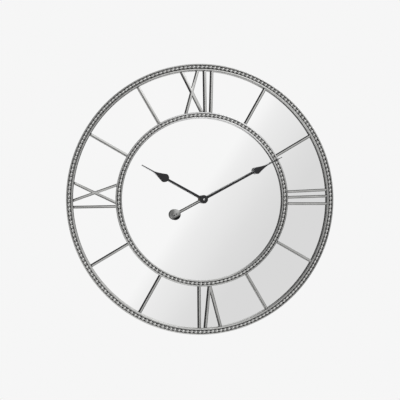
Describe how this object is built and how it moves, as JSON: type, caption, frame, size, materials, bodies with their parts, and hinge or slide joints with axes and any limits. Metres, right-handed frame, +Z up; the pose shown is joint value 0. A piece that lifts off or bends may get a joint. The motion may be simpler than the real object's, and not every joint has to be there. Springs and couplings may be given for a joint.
{
  "type": "mirror wall clock",
  "caption": "Round wall clock with a mirrored dial between beaded silver rings, raised Roman numerals and batons, dark spade hands and a battery quartz movement behind.",
  "frame": {"origin": "on the dial axis, in the plane of the wall that the rear hem rests on", "axes": "+X to the right of the dial, +Z up towards twelve, +Y into the wall; the front faces -Y"},
  "size_m": [0.7999, 0.0539, 0.8],
  "materials": {
    "antique_silver": "satin",
    "mirror": "polished",
    "fibreboard": "matte",
    "zinc_steel": "satin",
    "black_plastic": "matte",
    "grey_plastic": "matte",
    "white_plastic": "satin",
    "rubber": "matte",
    "brass": "polished",
    "magnet": "satin",
    "copper_wire": "gloss",
    "circuit_green": "satin",
    "battery_can": "gloss",
    "nickel": "polished",
    "gunmetal": "gloss",
    "chrome": "polished"
  },
  "bodies": {
    "clock": {"outer_frame": "antique_silver", "frame_skirt": "antique_silver", "outer_bead_row": "antique_silver", "inner_ring": "antique_silver", "inner_bead_row": "antique_silver", "numeral_twelve": "antique_silver", "numeral_three": "antique_silver", "numeral_six": "antique_silver", "numeral_nine": "antique_silver", "baton_one": "antique_silver", "baton_two": "antique_silver", "baton_four": "antique_silver", "baton_five": "antique_silver", "baton_seven": "antique_silver", "baton_eight": "antique_silver", "baton_ten": "antique_silver", "baton_eleven": "antique_silver", "mirror_glass": "mirror", "back_board": "fibreboard", "board_clips": "zinc_steel", "clip_screws": "zinc_steel", "hanger_bracket": "zinc_steel", "hanger_screws": "zinc_steel", "movement_case": "black_plastic", "movement_cover": "black_plastic", "neck_gasket": "rubber", "neck_washer": "brass", "neck_nut": "brass", "stator": "zinc_steel", "coil": "copper_wire", "circuit_board": "circuit_green", "crystal": "zinc_steel", "battery": "battery_can", "contact_positive": "nickel", "contact_negative": "nickel"},
    "minute": {"center_wheel": "brass", "minute_hand": "gunmetal", "minute_bush": "brass", "counterweight": "nickel", "counterweight_rivets": "gunmetal", "cap_nut": "chrome"},
    "hour": {"hour_wheel": "white_plastic", "hour_hand": "gunmetal", "hour_bush": "brass"},
    "setting": {"reverser_wheel": "white_plastic", "set_knob": "grey_plastic"},
    "third": {"third_wheel": "white_plastic"},
    "second": {"second_wheel": "white_plastic"},
    "intermediate": {"intermediate_wheel": "white_plastic"},
    "rotor": {"rotor": "magnet"}
  },
  "joints": [
    {"name": "minute_turn", "type": "hinge", "parent": "clock", "child": "minute", "pos_m": [0, -0.014, 0], "axis": [0, 1, 0], "continuous": true},
    {"name": "hour_turn", "type": "hinge", "parent": "clock", "child": "hour", "pos_m": [0, -0.014, 0], "axis": [0, 1, 0], "continuous": true},
    {"name": "setting_turn", "type": "hinge", "parent": "clock", "child": "setting", "pos_m": [-0.012, -0.014, 0], "axis": [0, 1, 0], "continuous": true},
    {"name": "third_turn", "type": "hinge", "parent": "clock", "child": "third", "pos_m": [0.0054, -0.014, 0.00935], "axis": [0, 1, 0], "continuous": true},
    {"name": "second_turn", "type": "hinge", "parent": "clock", "child": "second", "pos_m": [0.0156, -0.014, 0.00935], "axis": [0, 1, 0], "continuous": true},
    {"name": "intermediate_turn", "type": "hinge", "parent": "clock", "child": "intermediate", "pos_m": [0.0201, -0.014, 0.00156], "axis": [0, 1, 0], "continuous": true},
    {"name": "rotor_turn", "type": "hinge", "parent": "clock", "child": "rotor", "pos_m": [0.0201, -0.014, -0.00544], "axis": [0, 1, 0], "continuous": true}
  ],
  "couplings": [
    {"joint": "hour_turn", "follows": "minute_turn", "ratio": 0.083333},
    {"joint": "setting_turn", "follows": "minute_turn", "ratio": -0.25},
    {"joint": "third_turn", "follows": "minute_turn", "ratio": -8},
    {"joint": "second_turn", "follows": "minute_turn", "ratio": 60},
    {"joint": "intermediate_turn", "follows": "minute_turn", "ratio": -300},
    {"joint": "rotor_turn", "follows": "minute_turn", "ratio": 1800}
  ]
}
